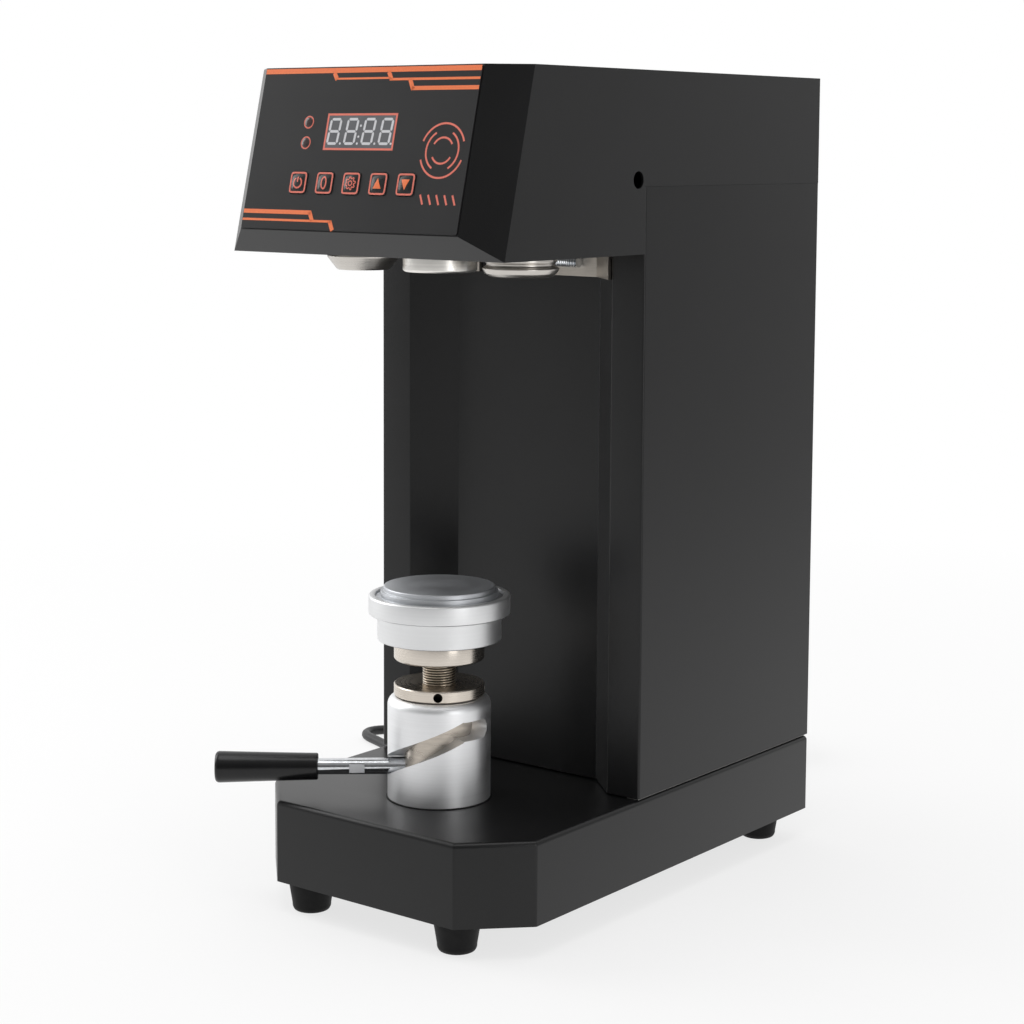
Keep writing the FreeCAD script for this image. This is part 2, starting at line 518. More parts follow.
# Head case: sloped panel, bevelled corners, chin, open below and behind
def head_solid(name, wall):
    """The head's outer form, or with a wall its hollow, which runs out below and behind."""
    out = "0" if wall == "0" else "cut_over"
    lean = f"sqrt(1 + {PANEL_SLOPE} ^ 2)"
    front = f"(base_front + panel_top_setback + {wall} * {lean})"
    top, low = f"(head_top - {wall})", f"(head_bottom - {out})"
    half = f"(head_width / 2 - {wall})"
    chin_y = f"(base_front + bevel_setback - {PANEL_SLOPE} * (head_top - head_bottom))"
    rise = "(panel_low_z - head_bottom)"
    run = f"({chin_y} - base_front - panel_low_setback)"
    chin_shift = f"({wall} * sqrt({rise} ^ 2 + {run} ^ 2) / {rise})"
    # where the sloped face meets the chin, both moved in by the wall
    drop = f"(({chin_shift} - {wall} * {lean}) / ({run} / {rise} + {PANEL_SLOPE}))"
    nose_z = f"(panel_low_z + {drop})"
    nose_y = f"(base_front + panel_low_setback + {wall} * {lean} + {PANEL_SLOPE} * {drop})"
    body = new_body(name)
    side_view = [(f"{front} - {PANEL_SLOPE} * {wall}", top), (nose_y, nose_z),
                 (f"{chin_y} + {chin_shift} + {out} * {run} / {rise}", low),
                 (f"{COLUMN_FRONT} - fit_gap + {out}", low),
                 (f"{COLUMN_FRONT} - fit_gap + {out}", f"column_top - {out}"),
                 (f"{CASE_BACK} + {out}", f"column_top - {out}"), (f"{CASE_BACK} + {out}", top)]
    raised(body, sketch_on(body, "YZ", [side_view]), f"2 * {half}", both=True)
    # the bevels are cut along the slope of the panel
    edge = "(sqrt((head_width / 2 - panel_half) ^ 2 + (bevel_setback - panel_top_setback) ^ 2))"
    pull = f"({wall} * ({edge} - (head_width / 2 - panel_half)) / (bevel_setback - panel_top_setback))"
    for side in (-1, 1):
        gradient = "((bevel_setback - panel_top_setback) / (head_width / 2 - panel_half))"
        shift = f"({wall} * {edge} / (head_width / 2 - panel_half) * {lean})"
        base_y = f"(base_front + panel_top_setback + {shift})"
        near_x, far_x = "(panel_half - bevel_width)", "(head_width / 2 + bevel_width)"
        corner = [(f"{side} * {near_x}", f"{base_y} + ({near_x} - panel_half) * {gradient}"),
                  (f"{side} * {far_x}", f"{base_y} + ({far_x} - panel_half) * {gradient}"),
                  (f"{side} * {far_x}", f"{base_y} - head_height"),
                  (f"{side} * {near_x}", f"{base_y} - head_height")]
        sketch = sketch_on(body, "XY", [corner], "head_top")
        cut = raised(body, sketch, "4 * head_height", both=True, cut=True)
        cut.UseCustomVector = True
        cut.Direction = FreeCAD.Vector(0, -number(PANEL_SLOPE), -1)
        cut.AlongSketchNormal = False
    return body


outer = head_solid("head_outer", "0")
hollow = head_solid("head_hollow", "head_wall")
holes = []
for side in (-1, 1):
    holes.append(rod(f"access_hole{side + 1}", "access_radius", "2 * cut_over",
                     f"{side} * head_width / 2 - cut_over",
                     f"{PIVOT_Y} + pivot_shaft_radius", "access_z", "90", ALONG_Y))
# Panel openings, in the panel's own frame: x along it, y up the slope, z out of it
PANEL_TURN = f"(90 deg - atan({PANEL_SLOPE}))"


def on_panel(thing, x="0", up="0", out="0"):
    """Lays a piece on the panel, up the slope from its lower edge and out from its face."""
    turn = PANEL_TURN
    y = f"base_front + panel_low_setback + ({up}) * cos({turn}) - ({out}) * sin({turn})"
    z = f"panel_low_z + ({up}) * sin({turn}) + ({out}) * cos({turn})"
    return place(thing, x, y, z, turn, ALONG_X)


def square_outline(size, round_by, x="0", y="0", height=None):
    """A rectangle with round corners about a point."""
    w, h = f"(({size}) / 2)", f"(({height or size}) / 2)"
    r = f"({round_by})"
    return [(f"{x} + {w}", f"{y} - {h} + {r}"), (f"{x} + {w}", f"{y} + {h} - {r}", r),
            (f"{x} + {w} - {r}", f"{y} + {h}"), (f"{x} - {w} + {r}", f"{y} + {h}", r),
            (f"{x} - {w}", f"{y} + {h} - {r}"), (f"{x} - {w}", f"{y} - {h} + {r}", r),
            (f"{x} - {w} + {r}", f"{y} - {h}"), (f"{x} + {w} - {r}", f"{y} - {h}", r)]


KEYS = ["key_power", "key_zero", "key_gear", "key_up", "key_down"]
KEY_X = [f"(key_first_x + {i} * key_pitch)" for i in range(len(KEYS))]
LAMP_UP = [f"(lamp_low + {i} * lamp_pitch)" for i in range(2)]


def panel_openings():
    """The holes of the keys, lamps and display."""
    cuts = [square_outline("key_size + 2 * key_gap", "key_round", x, "key_low") for x in KEY_X]
    cuts += [("circle", "lamp_x", up, "lamp_radius") for up in LAMP_UP]
    cuts.append(square_outline("display_width", "display_round", "display_x",
                               "display_low + display_height / 2", "display_height"))
    return cuts


openings = new_body("panel_openings")
raised(openings, sketch_on(openings, "XY", panel_openings()), "6 * head_wall", both=True)
on_panel(openings)
tools = joined("head_tools", [hollow, openings] + holes)
node(less("head_cut", outer, tools), "head_shell")

# Control panel: a printed overlay, keys, lamps and display over the control board
body = new_body("overlay")
PANEL_HEIGHT = "sqrt((head_top - panel_low_z) ^ 2 + (panel_top_setback - panel_low_setback) ^ 2)"
sheet_outline = square_outline("2 * (panel_half - overlay_inset)", "overlay_round", "0",
                               f"{PANEL_HEIGHT} / 2", f"{PANEL_HEIGHT} - 2 * overlay_inset")
raised(body, sketch_on(body, "XY", [sheet_outline] + panel_openings()), "overlay_thick")
on_panel(body)
node(body, "control_overlay")

for name, x in zip(KEYS, KEY_X):
    body = new_body(name + "_body")
    cap = raised(body, sketch_on(body, "XY", [square_outline("key_size", "key_round - key_gap")]),
                 "overlay_thick + head_wall + key_proud")
    rounded(body, cap, "key_edge", at_height("overlay_thick + head_wall + key_proud"))
    raised(body, sketch_on(body, "XY", [("circle", "0", "0", "post_radius")]),
           "board_gap - key_travel - key_slack", back=True)
    on_panel(body, x, "key_low", "-head_wall")
    node(body, name)

LAMP = [("0", "-head_wall - board_gap"), ("lamp_radius - lamp_neck", "-head_wall - board_gap"),
        ("lamp_radius - lamp_neck", "-head_wall"), ("lamp_radius", "-head_wall"),
        ("lamp_radius", "overlay_thick"),
        ("lamp_radius - lamp_proud", "overlay_thick + lamp_proud"), ("0", "overlay_thick + lamp_proud")]
lamps = []
for i, up in enumerate(LAMP_UP):
    lamp = on_panel(turned_piece(f"lamp{i}", LAMP), "lamp_x", up)
    lamps.append(lamp)
group("panel_lamps", lamps)

body = new_body("display")
raised(body, sketch_on(body, "XY",
                       [square_outline("display_width", "display_round", "0", "0", "display_height")]),
       "overlay_thick + head_wall + board_gap", back=True)
on_panel(body, "display_x", "display_low + display_height / 2", "overlay_thick")
node(body, "display_module")

body = new_body("board")
board = square_outline("board_width", "board_round", "0", "0", "board_height")
raised(body, sketch_on(body, "XY", [board]), "board_thick", back=True)
posts = [("circle", f"{sx} * (board_width / 2 - post_inset)", f"{sy} * (board_height / 2 - post_inset)",
          "post_radius")
         for sx in (-1, 1) for sy in (-1, 1)]
raised(body, sketch_on(body, "XY", posts), "board_gap")
on_panel(body, "0", "board_low + board_height / 2", "-head_wall - board_gap")
node(body, "control_board")

# Rear cover with its vents, and the small screws
body = new_body("rear")
low, high = f"({BASE_TOP} + column_gap)", "(head_top - head_wall - fit_gap)"
wide = "(column_width / 2 - column_wall - fit_gap)"
raised(body, sketch_on(body, "XZ", [[(f"-{wide}", low), (wide, low), (wide, high), (f"-{wide}", high)]]),
       "rear_sheet")
vents = [square_outline("vent_width", "vent_round", f"{side} * (vent_width / 2 + vent_apart)",
                        "vent_first_z", "vent_height") for side in (-1, 1)]
slots = raised(body, sketch_on(body, "XZ", vents, "-cut_over"), "rear_sheet + 2 * cut_over", cut=True,
               back=True)
repeated(body, slots, "vent_count", "Z", "vent_pitch")
raised(body, sketch_on(body, "XZ", [("circle", f"{side} * {FRAME_BOLT_X}", z, "screw_radius + bolt_slack")
                                    for side in (-1, 1) for z in SCREW_Z], "-cut_over"),
       "rear_sheet + 2 * cut_over", cut=True, back=True)
place(body, "0", CASE_BACK)
node(body, "rear_cover")


def screw_profile(length):
    """A pan-head screw, its tip at the origin."""
    return [("0", "0"), ("screw_radius", "0"), ("screw_radius", length), ("screw_head_radius", length),
            ("screw_head_radius - small_edge", f"{length} + screw_head_height"),
            ("0", f"{length} + screw_head_height")]


screws = []
for side in (-1, 1):
    for i, z in enumerate(SCREW_Z):
        screw = turned_piece(f"rear_screw{side + 1}{i}", screw_profile("screw_length"))
        place(screw, f"{side} * {FRAME_BOLT_X}", f"{CASE_BACK} - screw_length", z, "-90", ALONG_X)
        screws.append(screw)
for i, (x, y) in enumerate(FEET):
    screw = turned_piece(f"foot_screw{i}", screw_profile("foot_screw_length"))
    place(screw, x, y, "foot_recess_depth + foot_screw_length", "180", ALONG_X)
    screws.append(screw)
group("case_screws", screws)

# Lift cylinder: a thick sleeve with a helical slot that ends in a level pocket
SLANT = "(atan(lift_rise / (cylinder_radius * lever_turn * pi / 180)))"
body = new_body("cylinder")
profile = [("cylinder_bore", "0"), ("cylinder_radius", "0"),
           ("cylinder_radius", "cylinder_height - cylinder_round", "cylinder_round"),
           ("cylinder_radius - cylinder_round", "cylinder_height"), ("cylinder_bore", "cylinder_height")]
turned(body, sketch_on(body, "XZ", [profile]))
bolt_holes = [("circle", f"{sx} * {CYLINDER_BOLT_OFFSET}", f"{sy} * {CYLINDER_BOLT_OFFSET}", "bolt_radius")
              for sx, sy in CYLINDER_BOLTS]
raised(body, sketch_on(body, "XY", bolt_holes), "bolt_grip", cut=True, back=True)
place(body, "0", LIFT_Y, BASE_TOP)

helix = bind(doc.addObject("Part::Helix", "slot_line"), Radius="cylinder_radius", Height="lift_rise",
             Pitch="lift_rise * 360 / lever_turn")
slot_frame = new_body("slot_section")
OUTSIDE = "(cylinder_radius + slot_over)"
WITHIN = "(cylinder_bore - slot_over)"
half = f"(slot_width / 2 / cos({SLANT}))"
section = sketch_on(slot_frame, "XZ", [[(WITHIN, f"-{half}"), (OUTSIDE, f"-{half}"), (OUTSIDE, half),
                                        (WITHIN, half)]])
sweep = doc.addObject("Part::Sweep", "slot_sweep")
sweep.Sections = [section]
sweep.Spine = (helix, ["Edge1"])
sweep.Solid = True
sweep.Frenet = True
REST = "lever_bearing"
END = "(lever_bearing + lever_turn)"
place(sweep, "0", LIFT_Y, "lever_z", REST)
pocket_piece = doc.addObject("Part::Cylinder", "pocket_sector")
bind(pocket_piece, Radius=OUTSIDE, Height="slot_width", Angle="pocket_turn")
place(pocket_piece, "0", LIFT_Y, "lever_z + lift_rise - slot_width / 2", END)


def radial_hole(name, bearing, z, radius, start, length, shift=LIFT_Y):
    """A round hole or rod that points out from an upright axis at a bearing."""
    piece = doc.addObject("Part::Cylinder", name)
    bind(piece, Radius=radius, Height=length)
    piece.Placement = FreeCAD.Placement(FreeCAD.Vector(), FreeCAD.Rotation(number(bearing), 90, 0))
    return bind(piece, Placement__Base__x=f"({start}) * cos({bearing})",
                Placement__Base__y=f"{shift} + ({start}) * sin({bearing})", Placement__Base__z=z)


through = f"{OUTSIDE} - {WITHIN}"
ends = [radial_hole(name, bearing, z, "slot_width / 2", WITHIN, through) for name, bearing, z in (
    ("slot_start", REST, "lever_z"), ("slot_turn", END, "lever_z + lift_rise"),
    ("slot_end", f"({END} + pocket_turn)", "lever_z + lift_rise"))]
slot = joined("slot_tools", [sweep, pocket_piece] + ends)
node(less("cylinder_slotted", body, slot), "lift_cylinder")

# Rising group: piston, stud, lock ring and hub, all turned by the lever
PISTON_LOW = f"({BASE_TOP} + piston_low_gap)"
body = turned_piece("piston_body", [
    ("0", PISTON_LOW), ("cylinder_bore - piston_slack - piston_edge", PISTON_LOW),
    ("cylinder_bore - piston_slack", f"{PISTON_LOW} + piston_edge"),
    ("cylinder_bore - piston_slack", RING_LOW),
    ("stud_radius", RING_LOW), ("stud_radius", f"{RING_LOW} - stud_sunk"), ("0", f"{RING_LOW} - stud_sunk")],
    "0", LIFT_Y)
socket = radial_hole("rod_socket", REST, "lever_z", "rod_radius", "cylinder_bore - rod_sunk",
                     "rod_sunk + cut_over")
node(less("piston_drilled", body, socket), "lift_piston")

node(turned_piece("stud", [("0", f"{RING_LOW} - stud_sunk"), ("stud_radius", f"{RING_LOW} - stud_sunk"),
                           ("stud_radius", "hub_low + hub_thread"), ("0", "hub_low + hub_thread")], "0",
                           LIFT_Y), "lift_stud")

body = turned_piece("ring", [
    ("stud_radius", RING_LOW), ("ring_radius - small_edge", RING_LOW),
    ("ring_radius", f"{RING_LOW} + small_edge"),
    ("ring_radius", f"{RING_LOW} + ring_height - small_edge"),
    ("ring_radius - small_edge", f"{RING_LOW} + ring_height"),
    ("stud_radius", f"{RING_LOW} + ring_height")], "0", LIFT_Y)
tommy = [radial_hole(f"tommy{i}", f"(tommy_bearing + {i * 90})", f"{RING_LOW} + ring_height / 2",
                     "tommy_radius",
                     "ring_radius - tommy_depth", "tommy_depth + cut_over") for i in range(4)]
node(less("ring_drilled", body, joined("tommy_holes", tommy)), "lock_ring")

node(turned_piece("hub", [
    ("0", "hub_low + hub_thread"), ("stud_radius", "hub_low + hub_thread"), ("stud_radius", "hub_low"),
    ("hub_radius - small_edge", "hub_low"), ("hub_radius", "hub_low + small_edge"), ("hub_radius", HUB_TOP),
    ("hub_spigot_radius", HUB_TOP), ("hub_spigot_radius", f"{HUB_TOP} + hub_spigot_height"),
    ("0", f"{HUB_TOP} + hub_spigot_height")], "0", LIFT_Y), "turntable_hub")

# Lever: zinc-plated rod with wrench flats, and a moulded grip
ROD_START = "(cylinder_bore - rod_sunk)"
body = new_body("lever_body")
turned(body, sketch_on(body, "XZ", [[("0", ROD_START), ("rod_radius", ROD_START),
                                     ("rod_radius", "grip_start + grip_hold"),
                                     ("0", "grip_start + grip_hold")]]))
flats = [[(f"{side} * (rod_radius - flat_depth)", "flat_start"),
          (f"{side} * (rod_radius + flat_over)", "flat_start"),
          (f"{side} * (rod_radius + flat_over)", "flat_start + flat_length"),
          (f"{side} * (rod_radius - flat_depth)", "flat_start + flat_length")] for side in (-1, 1)]
raised(body, sketch_on(body, "XZ", flats), "4 * rod_radius", both=True, cut=True)
body.Placement = FreeCAD.Placement(FreeCAD.Vector(), FreeCAD.Rotation(number(REST), 90, 0))
bind(body, Placement__Base__y=LIFT_Y, Placement__Base__z="lever_z")
node(body, "lever_rod")

body = new_body("grip_body")
turned(body, sketch_on(body, "XZ", [[
    ("rod_radius", "grip_start"), ("grip_near_radius - small_edge", "grip_start"),
    ("grip_near_radius", "grip_start + small_edge"),
    ("grip_far_radius", "grip_end - grip_round", "grip_round"), ("grip_far_radius - grip_round", "grip_end"),
    ("0", "grip_end"), ("0", "grip_start + grip_hold"), ("rod_radius", "grip_start + grip_hold")]]))
body.Placement = FreeCAD.Placement(FreeCAD.Vector(), FreeCAD.Rotation(number(REST), 90, 0))
bind(body, Placement__Base__y=LIFT_Y, Placement__Base__z="lever_z")
node(body, "lever_grip")

# Turntable on its thrust bearing
BALL_Z = f"({HUB_TOP} + race_thick + race_gap + ball_radius)"
node(turned_piece("low_race", tube("hub_spigot_radius", "race_radius", HUB_TOP, f"{HUB_TOP} + race_thick"),
                  "0", LIFT_Y), "bearing_low_race")
RACE_TOP_LOW = f"({BALL_Z} + ball_radius + race_gap)"
node(turned_piece("top_race", tube("hub_spigot_radius + piston_slack", "race_radius", RACE_TOP_LOW,
                                   f"{RACE_TOP_LOW} + race_thick"), "0", LIFT_Y), "bearing_top_race")
cage = turned_piece("cage_ring", tube("cage_inner", "cage_outer", f"{BALL_Z} - cage_thick / 2",
                                      f"{BALL_Z} + cage_thick / 2"), "0", LIFT_Y)
balls = [cage]
for i in range(int(number("ball_count"))):
    ball = bind(doc.addObject("Part::Sphere", f"ball{i}"), Radius="ball_radius")
    bearing = f"(360 / ball_count * {i})"
    place(ball, f"ball_circle * cos({bearing})", f"{LIFT_Y} + ball_circle * sin({bearing})", BALL_Z)
    balls.append(ball)
node(joined("cage_balls", balls), "bearing_ball_cage")

TRAY_LOW = f"({HUB_TOP} + tray_gap)"
TRAY_CEILING = f"({RACE_TOP_LOW} + race_thick)"
node(turned_piece("tray_body", [
    ("hub_spigot_radius + piston_slack", TRAY_CEILING), ("race_radius", TRAY_CEILING),
    ("race_radius", TRAY_LOW),
    ("tray_step_radius - tray_chamfer", TRAY_LOW), ("tray_step_radius", f"{TRAY_LOW} + tray_chamfer"),
    ("tray_step_radius", "tray_step_top"), ("tray_radius - tray_chamfer", "tray_step_top"),
    ("tray_radius", "tray_step_top + tray_chamfer"), ("tray_radius", "tray_rim_top - tray_chamfer"),
    ("tray_radius - tray_chamfer", "tray_rim_top"), ("tray_rim_inner", "tray_rim_top"),
    ("tray_rim_inner", "tray_floor"), ("hub_spigot_radius + piston_slack", "tray_floor")],
    "0", LIFT_Y), "turntable")
node(turned_piece("disc_body", [
    ("0", "tray_floor"), ("tray_rim_inner - fit_gap", "tray_floor"),
    ("tray_rim_inner - fit_gap", "tray_rim_top - shoulder_low"),
    ("tray_shoulder_radius", "tray_rim_top - shoulder_low"), ("tray_shoulder_radius", "tray_shoulder_z"),
    ("disc_radius", "tray_shoulder_z"), ("disc_radius", "disc_top - disc_edge"),
    ("disc_radius - disc_edge", "disc_top"),
    ("0", "disc_top")], "0", LIFT_Y), "can_disc")

# Spindle: shaft in two bearings, chuck below, belt pulley above
CHUCK_TOP = "(chuck_bottom + chuck_height)"
SCREW_SEAT = "(chuck_bottom + chuck_dish_depth + chuck_screw_seat)"
SHAFT_LOW = f"({CHUCK_TOP} - chuck_bore_depth)"
node(turned_piece("chuck_body", [
    ("0", SCREW_SEAT), ("chuck_screw_radius", SCREW_SEAT),
    ("chuck_screw_radius", "chuck_bottom + chuck_dish_depth"),
    ("chuck_dish_radius", "chuck_bottom + chuck_dish_depth"),
    ("chuck_dish_radius + chuck_lip_slope", "chuck_bottom"),
    ("chuck_radius - chuck_low_edge", "chuck_bottom"), ("chuck_radius", "chuck_bottom + chuck_low_edge"),
    ("chuck_radius", f"{CHUCK_TOP} - chuck_top_edge"), ("chuck_radius - chuck_top_edge", CHUCK_TOP),
    ("shaft_radius", CHUCK_TOP), ("shaft_radius", SHAFT_LOW), ("0", SHAFT_LOW)], "0", LIFT_Y),
    "seaming_chuck")
node(turned_piece("chuck_screw_body", [
    ("0", "chuck_bottom"), ("chuck_screw_radius - chuck_screw_slack - chuck_low_edge", "chuck_bottom"),
    ("chuck_screw_radius - chuck_screw_slack", "chuck_bottom + chuck_low_edge"),
    ("chuck_screw_radius - chuck_screw_slack", SCREW_SEAT), ("0", SCREW_SEAT)], "0", LIFT_Y), "chuck_screw")
BEARING_LOW = "(head_plate_z + housing_lip)"
UPPER_LOW = "(housing_top - housing_lip - bearing_width)"
node(turned_piece("shaft", [
    ("0", SHAFT_LOW), ("shaft_radius", SHAFT_LOW), ("shaft_radius", CHUCK_TOP),
    ("shaft_radius + shaft_collar", CHUCK_TOP),
    ("shaft_radius + shaft_collar", "head_plate_z - shaft_collar_gap"),
    ("shaft_radius", "head_plate_z"),
    ("shaft_radius", "shaft_top"), ("0", "shaft_top")], "0", LIFT_Y), "spindle_shaft")
node(turned_piece("housing", [
    ("bearing_radius - bearing_seat", "head_plate_z"), ("housing_radius", "head_plate_z"),
    ("housing_radius", PLATE_TOP),
    ("housing_flange_radius", PLATE_TOP), ("housing_flange_radius", f"{PLATE_TOP} + housing_flange_thick"),
    ("housing_radius + housing_taper", f"{PLATE_TOP} + housing_flange_thick"),
    ("housing_radius - housing_taper", "housing_top"),
    ("bearing_radius", "housing_top"), ("bearing_radius", UPPER_LOW),
    ("bearing_radius - bearing_seat", UPPER_LOW),
    ("bearing_radius - bearing_seat", f"{BEARING_LOW} + bearing_width"),
    ("bearing_radius", f"{BEARING_LOW} + bearing_width"),
    ("bearing_radius", BEARING_LOW), ("bearing_radius - bearing_seat", BEARING_LOW)], "0", LIFT_Y),
    "spindle_housing")


def bearing_profile(low):
    """A shielded ball bearing: two race rims with the shield set back between them."""
    high = f"({low} + bearing_width)"
    bore = "shaft_radius + shaft_slack"
    inner, outer = "shaft_radius + race_width", "bearing_radius - race_width"
    shield_low, shield_high = f"{low} + shield_depth", f"{high} - shield_depth"
    return [(bore, low), (inner, low), (f"{inner} + shield_step", shield_low),
            (f"{outer} - shield_step", shield_low),
            (outer, low), ("bearing_radius", low), ("bearing_radius", high), (outer, high),
            (f"{outer} - shield_step", shield_high), (f"{inner} + shield_step", shield_high), (inner, high),
            (bore, high)]


group("spindle_bearings", [turned_piece("bearing_low", bearing_profile(BEARING_LOW), "0", LIFT_Y),
                           turned_piece("bearing_high", bearing_profile(UPPER_LOW), "0", LIFT_Y)])


def pulley_profile(bore, radius):
    """A flanged pulley for a flat toothed belt."""
    high = "(pulley_low + pulley_width)"
    return [(bore, "pulley_low"), (f"{radius} + pulley_rim", "pulley_low"),
            (f"{radius} + pulley_rim", "pulley_low + pulley_flange"),
            (radius, "pulley_low + pulley_flange + pulley_slope"),
            (radius, f"{high} - pulley_flange - pulley_slope"),
            (f"{radius} + pulley_rim", f"{high} - pulley_flange"),
            (f"{radius} + pulley_rim", high), (bore, high)]


node(turned_piece("spindle_pulley_body", pulley_profile("shaft_radius", "spindle_pulley_radius"), "0",
                  LIFT_Y),
     "spindle_pulley")

# Motor under the head plate, belt drive above it
body = new_body("motor")
MOTOR_LOW = "(head_plate_z - motor_length)"
RIB_END = "(motor_end + motor_step)"
turned(body, sketch_on(body, "XZ", [[
    ("0", MOTOR_LOW), ("motor_radius - motor_edge", MOTOR_LOW),
    ("motor_radius", f"{MOTOR_LOW} + motor_edge"),
    ("motor_radius", f"{MOTOR_LOW} + motor_end"), ("motor_radius - motor_waist", f"{MOTOR_LOW} + {RIB_END}"),
    ("motor_radius - motor_waist", f"head_plate_z - {RIB_END}"),
    ("motor_radius", "head_plate_z - motor_end"),
    ("motor_radius", "head_plate_z"), ("motor_boss_radius", "head_plate_z"),
    ("motor_boss_radius", "head_plate_z + motor_boss_height"),
    ("motor_shaft_radius + rod_slack", "head_plate_z + motor_boss_height"),
    ("motor_shaft_radius + rod_slack", "head_plate_z - motor_shaft_in"),
    ("0", "head_plate_z - motor_shaft_in")]]))
rib = raised(body, sketch_on(body, "XY", [[
    ("motor_radius - rib_root", "-rib_half"), ("motor_radius - rib_inset", "-rib_half"),
    ("motor_radius - rib_inset", "rib_half"), ("motor_radius - rib_root", "rib_half")]],
    f"{MOTOR_LOW} + {RIB_END}"), f"motor_length - 2 * {RIB_END}")
repeated(body, rib, "motor_rib_count", "Z")
place(body, "0", MOTOR_Y)
node(body, "motor_body")
node(turned_piece("motor_shaft_body", [
    ("0", "head_plate_z - motor_shaft_in"), ("motor_shaft_radius", "head_plate_z - motor_shaft_in"),
    ("motor_shaft_radius", "shaft_top"),
    ("0", "shaft_top")], "0", MOTOR_Y), "motor_shaft")
node(turned_piece("motor_pulley_body", pulley_profile("motor_shaft_radius", "motor_pulley_radius"), "0",
                  MOTOR_Y),
     "motor_pulley")


def loop_face(first, second, spacing):
    """The plan of a belt round two circles, the first at the origin and the second along Y."""
    tilt = math.asin((first - second) / spacing)
    c, s = math.cos(tilt), math.sin(tilt)
    a, b = FreeCAD.Vector(first * c, first * s, 0), FreeCAD.Vector(second * c, spacing + second * s, 0)
    edges = [Part.LineSegment(a, b),
             Part.Arc(b, FreeCAD.Vector(0, spacing + second, 0), FreeCAD.Vector(-b.x, b.y, 0)),
             Part.LineSegment(FreeCAD.Vector(-b.x, b.y, 0), FreeCAD.Vector(-a.x, a.y, 0)),
             Part.Arc(FreeCAD.Vector(-a.x, a.y, 0), FreeCAD.Vector(0, -first, 0), a)]
    return Part.Face(Part.Wire([e.toShape() for e in edges]))


belt = doc.addObject("Part::Feature", "belt")
spacing = number(f"{MOTOR_Y} - {LIFT_Y}")
first, second, gap = number("spindle_pulley_radius"), number("motor_pulley_radius"), number("belt_gap")
wide = number("belt_thick") + gap
ring = loop_face(first + wide, second + wide, spacing).cut(loop_face(first + gap, second + gap, spacing))
belt.Shape = ring.extrude(FreeCAD.Vector(0, 0, number("belt_width")))
place(belt, "0", LIFT_Y, "pulley_low + (pulley_width - belt_width) / 2")
node(belt, "drive_belt")

# Seaming rollers: each on a swinging arm, turned by a crank on top of the head plate
REACH = f"(sqrt((pivot_x - roller_x) ^ 2 + ({PIVOT_Y} - {LIFT_Y}) ^ 2))"
LEAN = f"(atan((pivot_x - roller_x) / ({PIVOT_Y} - {LIFT_Y})))"
ROLLERS = {
    "left": [("roller_pin_radius + pivot_slack", "roller_top"),
             ("roller_radius - left_neck - roller_edge", "roller_top"),
             ("roller_radius - left_neck", "roller_top - roller_edge"),
             ("roller_radius - left_neck", "roller_bottom + left_cone_top"),
             ("roller_radius - left_cone_in", "roller_bottom + left_cone_low"),
             ("roller_radius", "roller_bottom + left_rim_top"),
             ("roller_radius", "roller_bottom + left_rim_low", "~left_bowl"),
             ("roller_radius - left_floor", "roller_bottom")],
    "right": [("roller_pin_radius + pivot_slack", "roller_top"),
              ("roller_radius - right_neck - roller_edge", "roller_top"),
              ("roller_radius - right_neck", "roller_top - roller_edge"),
              ("roller_radius - right_neck", "roller_bottom + right_neck_low"),
              ("roller_radius - right_groove", "roller_bottom + right_groove_top"),
              ("roller_radius - right_groove", "roller_bottom + right_groove_low"),
              ("roller_radius", "roller_bottom + right_rim_top"),
              ("roller_radius", "roller_bottom + right_rim_low", "~right_bowl"),
              ("roller_radius - right_floor", "roller_bottom")],
}
UNDERSIDE = [("keeper_radius + fit_gap", "roller_bottom"),
             ("keeper_radius + fit_gap", "roller_bottom + keeper_recess"),
             ("roller_pin_radius + pivot_slack", "roller_bottom + keeper_recess")]
PIN_LOW = "(roller_bottom - pin_head_low)"
KEEPER_LOW = f"({PIN_LOW} + pin_head_height)"
CRANK_LOW = f"({PLATE_TOP} + crank_low_gap)"
drive_bodies = []
